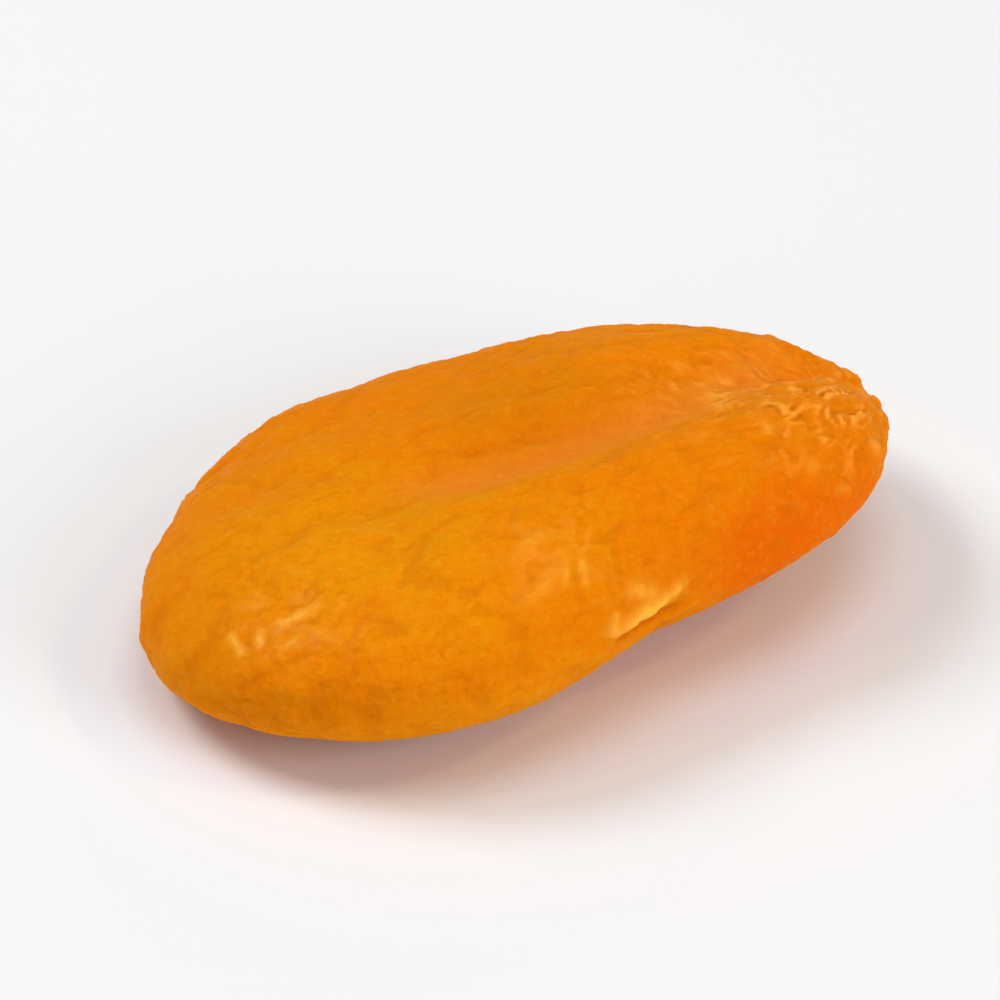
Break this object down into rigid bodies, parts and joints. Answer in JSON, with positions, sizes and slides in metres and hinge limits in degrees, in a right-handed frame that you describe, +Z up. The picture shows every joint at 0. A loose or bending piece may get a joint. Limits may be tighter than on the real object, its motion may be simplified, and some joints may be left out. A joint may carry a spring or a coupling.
{
  "type": "dried apricot",
  "caption": "Whole pitted dried apricot: a flat, plump, leathery orange pillow with a shallow suture trough and a pleated stem end, resting on its underside.",
  "frame": {"origin": "on the surface the fruit lies on, under the middle of its outline", "axes": "+X along the fruit to its stem end, +Y across it towards the lower lobe, +Z up"},
  "size_m": [0.0434, 0.0306, 0.0116],
  "materials": {
    "apricot_skin": "satin"
  },
  "bodies": {
    "root": {"apricot": "apricot_skin"}
  },
  "joints": []
}
